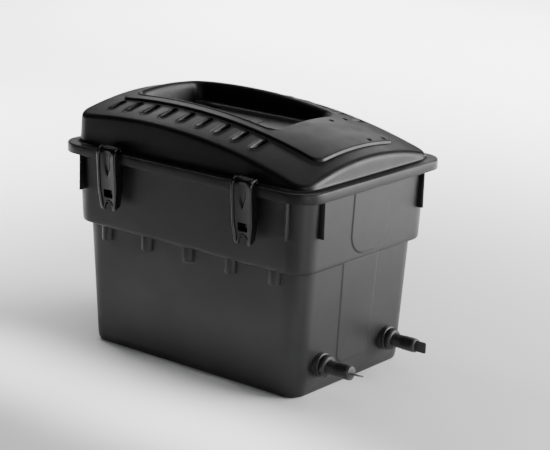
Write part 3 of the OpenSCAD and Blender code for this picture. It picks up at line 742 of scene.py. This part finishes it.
def web_piece():
    """The sunk front between the rails: a flame-shaped hollow, a window and an open arch."""
    nu, nv = 61, 120
    line = resample(WEB_OUT, nv)
    u = np.linspace(-1, 1, nu)
    front, back, cut = [], [], []
    for k in range(nv):
        z = line[k, 1]
        x = u * (clip_half_width(z) - CLIP_RAIL + 1.0)
        flame_half = 8.5 * smooth(314, 350, z)
        sink = 2.6 * (1 - smooth(flame_half - 5.5, flame_half + 0.8, np.abs(x)))
        sink = sink * smooth(316, 330, z) * (1 - smooth(365, 370, z))
        outside = line[k, 0] - hollow(x)
        front.append(np.column_stack((x, sink - outside, np.full(nu, z))))
        back.append(np.column_stack((x, WEB_T + sink * 0.8 - outside, np.full(nu, z))))
        window = (np.abs(x) < WINDOW_HALF) & (WINDOW_Z[0] < z < WINDOW_Z[1])
        arch = np.hypot(x, max(z - TAIL_ARCH_Z, 0)) < TAIL_ARCH_R
        cut.append(window | arch)
    front, back, cut = np.array(front), np.array(back), np.array(cut)
    vertices = np.concatenate((front.reshape(-1, 3), back.reshape(-1, 3)))
    at = lambda k, i, layer: layer * nu * nv + k * nu + i
    solid = ~(cut[:-1, :-1] & cut[1:, :-1] & cut[:-1, 1:] & cut[1:, 1:])
    faces = []
    for k in range(nv - 1):
        for i in range(nu - 1):
            if not solid[k, i]:
                continue
            a, b, c, d = (k, i), (k, i + 1), (k + 1, i + 1), (k + 1, i)
            faces.append((at(*a, 0), at(*d, 0), at(*c, 0), at(*b, 0)))
            faces.append((at(*a, 1), at(*b, 1), at(*c, 1), at(*d, 1)))
            for p, q, open_side in ((a, b, k == 0 or not solid[k - 1, i]),
                                    (b, c, i == nu - 2 or not solid[k, i + 1]),
                                    (c, d, k == nv - 2 or not solid[k + 1, i]),
                                    (d, a, i == 0 or not solid[k, i - 1])):
                if open_side:
                    faces.append((at(*p, 0), at(*q, 0), at(*q, 1), at(*p, 1)))
    return vertices, faces


def clip_parts():
    """Chunks of one clip on the front side, centred at x = 0."""
    chunks = [rail_piece(-1), rail_piece(1), web_piece()]
    for s in (-1, 1):  # cheeks round the hinge pin
        cheek = turned([(2.1, 0), (4.4, 0), (5, 0.6), (5, CLIP_RAIL - 0.6), (4.4, CLIP_RAIL),
                        (2.1, CLIP_RAIL)], 32, True)
        start = CLIP_W / 2 - CLIP_RAIL - 0.3 if s > 0 else -CLIP_W / 2 + 0.3
        chunks.append(placed(cheek, along_x(start, -HINGE_Y, HINGE_Z)))
        x0 = s * (CLIP_W / 2 - 0.3)
        x = sorted((x0, x0 - s * CLIP_RAIL))
        chunks.append(soft_block(x, (-203.5, -197.0), (366.8, 376.3), 0.7))
    # rolled edge round the arch, its feet joined to the rails
    r = TAIL_ARCH_R + 0.4
    arch = [(r * math.cos(a), TAIL_ARCH_Z + r * math.sin(a)) for a in np.linspace(0, math.pi, 17)]
    arch = [(12.0, 264.8), (10.2, 268.0)] + arch + [(-10.2, 268.0), (-12.0, 264.8)]
    chunks.append(bead([(x, -web_y(x, z), z) for x, z in arch], 1.7))
    # thin crest across the top, lowest in the middle
    crest = [(-18, 375.6), (-10, 374.9), (0, 373.9), (10, 374.9), (18, 375.6)]
    chunks.append(bead([(x, -203.4, z) for x, z in crest], 1.0))
    # box behind the window, open to the front
    low, high = WINDOW_Z[0] - 1.5, WINDOW_Z[1] + 1.5
    for x, y, z in (((-12.0, -10.6), BOX_Y, (low, high)), ((10.6, 12.0), BOX_Y, (low, high)),
                    ((-11.4, 11.4), BOX_Y, (low, low + 1.4)),
                    ((-11.4, 11.4), BOX_Y, (high - 1.4, high)),
                    ((-12.0, 12.0), (-194.0, -192.6), (low, high))):
        chunks.append(soft_block(x, y, z, 0.2))
    return chunks


def web_y(x, z):
    """How far out the web's front is at a point."""
    line = np.array(WEB_OUT)[::-1]
    return float(np.interp(z, line[:, 1], line[:, 0])) - hollow(x)


def bead(path, r, segments=10):
    """A round bead along a few points, with closed ends."""
    p = np.array(path, float)
    run = np.concatenate(([0], np.cumsum(np.linalg.norm(np.diff(p, axis=0), axis=1))))
    count = max(6, int(run[-1] / 1.5))
    at = np.linspace(0, run[-1], count)
    p = np.column_stack([np.interp(at, run, p[:, k]) for k in range(3)])
    for _ in range(3):
        p[1:-1] = 0.25 * p[:-2] + 0.5 * p[1:-1] + 0.25 * p[2:]
    tangent = np.gradient(p, axis=0)
    tangent /= np.linalg.norm(tangent, axis=1)[:, None]
    side = np.cross(tangent, (0.3, 1.0, 0.2))
    side /= np.linalg.norm(side, axis=1)[:, None]
    up = np.cross(side, tangent)
    a = np.arange(segments) * 2 * math.pi / segments
    loops = []
    for k in range(count):
        size = r * min(1.0, 0.35 + 0.65 * min(k, count - 1 - k) / 2)
        loops.append(p[k] + size * (np.cos(a)[:, None] * side[k] + np.sin(a)[:, None] * up[k]))
    return stack(loops)


def add_clip(row, end, material):
    """row is front or back, end is left or right."""
    shift = np.array((CLIP_X if end == "right" else -CLIP_X, 0.0, 0.0))
    chunks = []
    for vertices, faces in clip_parts():
        vertices = np.asarray(vertices) * (1.0, -1.0 if row == "back" else 1.0, 1.0) + shift
        if row == "back":
            faces = [tuple(reversed(f)) for f in faces]
        chunks.append((vertices, faces))
    node = f"clip_{row}_{end}"
    settle(join_meshes(f"clamp_{row}_{end}", chunks, 50), material, node, node)


# ---- fittings

THREAD_PITCH = 1.7
WING_TURN = 69.7  # of the front plug, away from upright; the back one stands upright


def threaded(r_out, r_in, start, end, segments=48, depth=0.55):
    """Chunk of a threaded tube about +Z: a true helix on the outside, a plain bore inside."""
    rows = int((end - start) / THREAD_PITCH * 8) + 1
    a = np.arange(segments) * 2 * math.pi / segments
    profile = [(r_in, start)]
    for z in np.linspace(start, end, rows):
        phase = (z / THREAD_PITCH - a / (2 * math.pi)) % 1.0
        fade = min(1.0, (z - start) / 2, (end - z) / 2)
        profile.append((r_out - depth * fade * np.abs(2 * phase - 1), z))
    return turned(profile + [(r_in, end)], segments, True)


def ribbed(profile, ribs, rib_height, z_from, z_to, segments=144):
    """Closed turned profile with grip ribs between two heights."""
    a = np.arange(segments) * 2 * math.pi / segments
    wave = np.clip(np.cos(a * ribs) * 1.6, -1, 1) * 0.5 + 0.5
    r_max = max(r for r, _ in profile)

    def ribs_at(r, z):
        return rib_height * wave if (r > r_max - 1.5 and z_from <= z <= z_to) else 0.0

    return turned([(r + ribs_at(r, z), z) for r, z in profile], segments, True)


def fitting(name, node, chunks, material, body="filter_box"):
    settle(join_meshes(name, chunks, 40), material, body, node)


def add_drain(row, material, plug_material, rubber):
    s = -1 if row == "front" else 1
    at = along_x(0, s * DRAIN_Y, DRAIN_Z)
    collar = turned([(8.5, 225), (18.6, 225), (19, 225.4), (19, 228.6), (18.6, 229), (8.5, 229)],
                    64, True)
    tube = threaded(12.0, 8.6, 228.5, 277.5)
    sleeve = turned([(8.6, 277.5), (12.1, 277.5), (12.6, 278), (12.6, 299.4), (12.0, 300),
                     (9.1, 300), (8.6, 299.5)], 64, True)
    chunks = [placed(c, at) for c in (collar, tube, sleeve)]
    fitting(f"drain_pipe_{row}", f"drain_tube_{row}", chunks, material)

    washer = turned([(12.1, 240.1), (20.4, 240.1), (21, 240.5), (21, 241.3), (20.5, 241.6),
                     (21, 241.9), (21, 242.5), (20.4, 242.9), (12.1, 242.9)], 64, True)
    fitting(f"drain_washer_{row}", f"drain_gasket_{row}", [placed(washer, at)], rubber)

    nut = ribbed([(12.1, 243), (20.5, 243), (21, 243.4), (21, 245.6), (20.5, 246), (18.8, 246.4),
                  (18.5, 246.8), (18.5, 247.8), (18.9, 248.3), (19.2, 248.7), (19.2, 254.4),
                  (18.6, 255.4), (17.0, 257.6), (16.4, 258), (12.1, 258)], 24, 0.4, 248.5, 254.6)
    fitting(f"drain_nut_{row}_turned", f"drain_nut_{row}", [placed(nut, at)], material)

    turn = WING_TURN if row == "front" else 0.0
    at = along_x(0, s * DRAIN_Y, DRAIN_Z, turn)
    stem = turned([(6.8, 276), (7.4, 276.3), (8.3, 277.2), (8.4, 283), (6.0, 283.1), (6.0, 285.6),
                   (8.4, 285.7), (8.4, 300.15), (11.5, 300.2), (12, 300.7), (12, 302.2),
                   (11.7, 302.8), (10.9, 303.2), (4, 303.2)])
    body = f"drain_plug_{row}"
    chunks = [placed(c, at) for c in (stem, wing_chunk())]
    fitting(f"plug_{row}", body, chunks, plug_material, body)


def wing_chunk():
    """The plug's flat wing: a rounded plate that stands on the cap."""
    outline = [(-10, 302.4), (10, 302.4), (10, 317.5)]
    outline += [(7 + 3 * math.cos(a), 320 + 2.8 * math.sin(a))
                for a in np.radians([15, 45, 75, 90])]
    outline += [(-x, z) for x, z in outline[:1:-1]]
    p = np.array(outline)
    centre = np.array((0.0, 312.0))
    loops = []
    for inset, y in ((0.5, -1.1), (0.0, -0.6), (0.0, 0.6), (0.5, 1.1)):
        d = p - centre
        q = p - d / np.hypot(*d.T)[:, None] * inset
        loops.append(np.column_stack((q[:, 0], np.full(len(q), y), q[:, 1])))
    return stack([l[::-1] for l in loops])


def add_inlet(material, rubber):
    at = against_x(0, 0, INLET_Z)
    flange = turned([(16, 250), (26.5, 250), (27, 250.5), (27, 253.5), (26.5, 254), (16, 254)],
                    96, True)
    thread = threaded(21.0, 16.1, 253.5, 295.0, 72, 0.6)
    fitting("inlet_body", "inlet_fitting", [placed(flange, at), placed(thread, at)], material)
    ring = turned([(21.1, 264.1), (26.4, 264.1), (27, 264.6), (27, 266.4), (26.4, 266.9),
                   (21.1, 266.9)], 96, True)
    fitting("inlet_washer", "inlet_gasket", [placed(ring, at)], rubber)
    nut = ribbed([(21.1, 267), (25.6, 267), (26, 267.4), (26, 268.4), (24.8, 268.8), (24.6, 269.2),
                  (24.6, 275.6), (24.0, 276.6), (23.4, 277), (21.1, 277)], 12, 1.3, 267.0, 276.0)
    fitting("inlet_ring_nut", "inlet_nut", [placed(nut, at)], material)
    union = ribbed([(21.1, 283), (24.6, 283), (25.0, 283.5), (25.0, 299.5), (24.2, 302), (23, 303),
                    (19.1, 303), (19.1, 300.0), (21.1, 299.8)], 16, 1.4, 283.0, 300.0)
    fitting("inlet_union", "inlet_union_nut", [placed(union, at)], material)
    tail = turned([(9.5, 295), (20, 295), (20.5, 295.5), (20.5, 298.5), (20, 299), (19, 299),
                   (19, 318.9), (20, 319), (19.1, 323.8), (19, 329.3), (18.3, 330), (15.6, 330.6),
                   (15.5, 335.9), (16.5, 336), (15.6, 340.8), (15.5, 353.4), (14.9, 354),
                   (12.6, 354.6), (12.5, 359.9), (13.5, 360), (12.6, 364.8), (12.5, 375.2),
                   (11.8, 376), (9.5, 376)], 96, True)
    fitting("inlet_tail", "inlet_hose_tail", [placed(tail, at)], material)


def add_outlet(rubber):
    at = against_x(0, OUTLET_Y, OUTLET_Z)
    seal = turned([(25.05, 250), (31.4, 250), (32, 250.6), (32, 252.4), (31.4, 253), (29, 253.4),
                   (28.8, 254), (28.8, 262.4), (29.4, 263), (32.8, 263), (33.5, 263.6), (33.5, 266),
                   (32, 267), (28, 267.1), (27, 266), (26, 267.1), (25.05, 267)], 96, True)
    fitting("outlet_grommet", "outlet_seal", [placed(seal, at)], rubber)


# ---- soft pieces

MAT_X, MAT_Y = (-168.0, 250.0), (-173.0, 173.0)
BAG_Z, BAG_H, BAG_HALF_Y = 84.3, 119.0, 148.0
LUMPS, LUMP_DEPTH = 60, 6.0


def foam_mat(name, node, z0, z1, material, seed):
    """A cut foam mat: slightly uneven sides, softly rounded edges and a shallow wave on top."""
    rng = np.random.default_rng(seed)
    outline = rounded(MAT_X[0] + 1, MAT_X[1] - 1, MAT_Y[0] + 1, MAT_Y[1] - 1, 30)
    xs, ys = np.linspace(-130, 212, 60), np.linspace(-140, 140, 48)
    plan = loop(outline, xs, ys, 12)
    n = len(plan)
    wander = np.zeros(n)
    s = np.arange(n) / n * 2 * math.pi
    for k in range(3, 14):
        wander += rng.normal(0, 0.5 / k**0.5) * np.sin(k * s + rng.uniform(0, 6.3))
    centre = np.array((41.0, 0.0))
    out = (plan - centre) / np.hypot(*(plan - centre).T)[:, None]
    plan = plan - out * (1.4 + np.clip(wander, -1.2, 1.2))[:, None]
    thick = z1 - z0
    loops = []
    for inset, t in ((5, 0.004), (2, 0.02), (0.6, 0.1), (0.1, 0.3), (0, 0.5), (0.1, 0.7),
                     (0.6, 0.9), (2, 0.975), (5, 0.992)):
        loops.append(lift(plan - out * inset, z0 + 0.15 + (thick - 0.3) * t))
    for f in (0.93, 0.86, 0.75, 0.6, 0.45, 0.3, 0.15, 0.05):
        p = centre + (plan - centre) * f
        wave = 0.35 * np.sin(p[:, 0] / 31 + seed) * np.sin(p[:, 1] / 27 + 2 * seed) - 0.4
        loops.append(lift(p, z1 - 0.15 + wave * (1 - f) ** 0.3))
    obj = settle(join_meshes(name, [stack(loops)], 60), material, "filter_box", node)


def media_bag(name, node, x0, x1, material, seed):
    """A net bag full of loose media: bulging sides, a lumpy crown drawn in at the middle."""
    rng = np.random.default_rng(seed)
    lumps = [(rng.uniform(-1, 1), rng.uniform(-1, 1), rng.uniform(0.10, 0.2), rng.uniform(0.5, 1))
             for _ in range(LUMPS)]
    cx, half_x = (x0 + x1) / 2, (x1 - x0) / 2 - 1.5
    loops = []
    segments = 160
    a = np.arange(segments) * 2 * math.pi / segments
    power = 0.42
    ux = np.sign(np.cos(a)) * np.abs(np.cos(a)) ** power
    uy = np.sign(np.sin(a)) * np.abs(np.sin(a)) ** power
    profile = [(0.30, 0.0), (0.80, 0.001), (0.93, 0.012), (0.985, 0.07), (1.0, 0.2), (0.995, 0.4),
               (0.985, 0.58), (0.96, 0.72), (0.92, 0.82), (0.85, 0.895), (0.74, 0.945),
               (0.6, 0.973), (0.45, 0.986), (0.3, 0.992), (0.16, 0.985), (0.07, 0.98), (0.02, 0.98)]
    fine = resample([(w * 100, t * 100) for w, t in profile], 64) / 100
    for w, t in fine:
        x, y = ux * w, uy * w
        bump = np.zeros(segments)
        for lx, ly, size, strength in lumps:
            d2 = (x - lx) ** 2 + (y - ly) ** 2
            bump += strength * np.exp(-d2 / size**2)
        top = smooth(0.5, 0.9, t)
        side = 1 - 0.018 * smooth(0.02, 0.25, t) * (1 + np.sin(a * 13 + 9 * t + seed)) / 2
        z = BAG_Z + BAG_H * t - top * (1.0 - np.clip(bump, 0, 1)) * LUMP_DEPTH
        loops.append(np.column_stack((cx + x * half_x * side, y * BAG_HALF_Y * side, z)))
    obj = settle(join_meshes(name, [stack(loops)], 80), material, "filter_box", node)


# ---- materials

GRAIN_SCALE, GRAIN_DEPTH = 1400.0, 0.00006  # moulded grain, per metre and in metres


class Nodes:
    """Small helper that builds one Principled material node by node."""

    def __init__(self, name):
        self.material = bpy.data.materials.new(name)
        self.material.use_nodes = True
        self.tree = self.material.node_tree
        self.shader = self.tree.nodes["Principled BSDF"]
        self.coords = self.add("ShaderNodeTexCoord").outputs["Object"]

    def add(self, kind, inputs=None, **settings):
        node = self.tree.nodes.new(kind)
        for key, value in settings.items():
            setattr(node, key, value)
        for key, value in (inputs or {}).items():
            node.inputs[key].default_value = value
        return node

    def link(self, source, target):
        self.tree.links.new(source, target)

    def noise(self, scale, detail=3.0):
        node = self.add("ShaderNodeTexNoise", {"Scale": scale, "Detail": detail})
        self.link(self.coords, node.inputs["Vector"])
        return node.outputs["Fac"]

    def colour(self, source, low, high, start=0.3, stop=0.7):
        """Base colour that runs from low to high along source."""
        node = self.add("ShaderNodeValToRGB")
        for element, value, at in zip(node.color_ramp.elements, (low, high), (start, stop)):
            element.color = tuple(value) + (1,)
            element.position = at
        self.link(source, node.inputs["Fac"])
        self.link(node.outputs["Color"], self.shader.inputs["Base Color"])

    def roughness(self, source, low, high):
        node = self.add("ShaderNodeMapRange", {"From Min": 0.3, "From Max": 0.7,
                                               "To Min": low, "To Max": high})
        self.link(source, node.inputs["Value"])
        self.link(node.outputs["Result"], self.shader.inputs["Roughness"])

    def bump(self, height, distance):
        node = self.add("ShaderNodeBump", {"Distance": distance, "Strength": 1.0})
        self.link(height, node.inputs["Height"])
        self.link(node.outputs["Normal"], self.shader.inputs["Normal"])


def plastic(name, grey, rough, shine):
    """Dark moulded plastic: fine grain, faint patchiness in shade and gloss."""
    n = Nodes(name)
    low, high = (grey * 0.82, grey * 0.82, grey * 0.85), (grey * 1.2, grey * 1.19, grey * 1.2)
    n.colour(n.noise(9.0, 4.0), low, high)
    n.roughness(n.noise(28.0, 5.0), rough - 0.04, rough + 0.05)
    n.shader.inputs["Specular IOR Level"].default_value = shine
    n.bump(n.noise(GRAIN_SCALE, 2.0), GRAIN_DEPTH)
    return n.material


def foam(name, colour, cell):
    """Open-cell foam: a matt, coloured skeleton with painted shade in its small pores."""
    n = Nodes(name)
    pores = n.add("ShaderNodeTexVoronoi", {"Scale": cell})
    n.link(n.coords, pores.inputs["Vector"])
    # painted shade: the colour falls to 0.12 of the foam's colour in the middle of each pore
    n.colour(pores.outputs["Distance"], [c * 0.12 for c in colour], colour, 0.12, 0.5)
    n.roughness(n.noise(60.0), 0.86, 0.98)
    n.bump(pores.outputs["Distance"], 0.0012)
    return n.material


def net(name, colour, mesh_scale):
    """Knitted net over light plastic media: a fine square mesh whose gaps get painted shade."""
    n = Nodes(name)
    waves = []
    for direction in ("X", "Y", "Z"):
        wave = n.add("ShaderNodeTexWave", {"Scale": mesh_scale, "Distortion": 0.6},
                     wave_type="BANDS", bands_direction=direction)
        n.link(n.coords, wave.inputs["Vector"])
        waves.append(wave.outputs["Fac"])
    total = waves[0]
    for other in waves[1:]:
        most = n.add("ShaderNodeMath", operation="MAXIMUM")
        n.link(total, most.inputs[0])
        n.link(other, most.inputs[1])
        total = most.outputs["Value"]
    # painted shade: the gaps between the strands are a quarter of the strands' colour
    n.colour(total, [c * 0.25 for c in colour], colour, 0.86, 0.97)
    n.roughness(n.noise(40.0), 0.7, 0.85)
    n.bump(total, 0.0008)
    return n.material


def rubber_material(name):
    """Black seal rubber, matt and faintly mottled."""
    n = Nodes(name)
    n.colour(n.noise(30.0), (0.008, 0.008, 0.008), (0.016, 0.016, 0.016), 0.0, 1.0)
    n.roughness(n.noise(90.0), 0.6, 0.75)
    n.bump(n.noise(900.0), 0.00008)
    return n.material


def steel(name):
    """Drawn steel pin: mottled shade and gloss."""
    n = Nodes(name)
    n.colour(n.noise(200.0), (0.42, 0.42, 0.43), (0.6, 0.6, 0.61), 0.0, 1.0)
    n.roughness(n.noise(400.0), 0.3, 0.45)
    n.shader.inputs["Metallic"].default_value = 1.0
    return n.material


# ---- build


def dress(node, material):
    """A CAD node that stays gets its own look."""
    for material_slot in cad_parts[node].material_slots:
        material_slot.material = material


add_camera()
add_studio()

tank_plastic = plastic("tank_plastic", 0.008, 0.42, 0.34)
lid_plastic = plastic("lid_plastic", 0.005, 0.42, 0.25)
clip_plastic = plastic("clip_plastic", 0.004, 0.22, 0.55)
fitting_plastic = plastic("fitting_plastic", 0.012, 0.5, 0.4)
plug_plastic = plastic("plug_plastic", 0.03, 0.5, 0.4)
pipe_plastic = plastic("pipe_plastic", 0.02, 0.38, 0.45)
grid_plastic = plastic("grid_plastic", 0.03, 0.5, 0.4)
rubber = rubber_material("seal_rubber")

settle(lid_mesh(), lid_plastic, "lid", "lid")
settle(tank_mesh(), tank_plastic, "filter_box", "tank")

for row in ("front", "back"):
    for end in ("left", "right"):
        add_clip(row, end, clip_plastic)
    add_drain(row, fitting_plastic, plug_plastic, rubber)
    dress(f"plug_seal_{row}", rubber)
add_inlet(fitting_plastic, rubber)
add_outlet(rubber)

for grade, z0, z1, shade, cell, seed in (
    ("fine", 234.0, 252.0, (0.05, 0.05, 0.056), 900.0, 1),
    ("medium", 252.0, 270.0, (0.05, 0.16, 0.08), 620.0, 2),
    ("coarse", 270.0, 298.0, (0.04, 0.13, 0.36), 380.0, 3),
):
    skin = foam(f"foam_{grade}", shade, cell)
    foam_mat(f"mat_{grade}", f"foam_{grade}", z0, z1, skin, seed)
media_net = net("media_net", (0.42, 0.41, 0.37), 110.0)
media_bag("net_bag_inlet_side", "media_bag_inlet_side", -165.0, 28.0, media_net, 4)
media_bag("net_bag_drain_side", "media_bag_drain_side", 32.0, 225.0, media_net, 5)

for node in ("lower_grid", "foam_grate", "distribution_tray"):
    dress(node, grid_plastic)
for node in ("standpipe", "outlet_elbow"):
    dress(node, pipe_plastic)
dress("lid_gasket", rubber)
dress("clip_pins", steel("pin_steel"))
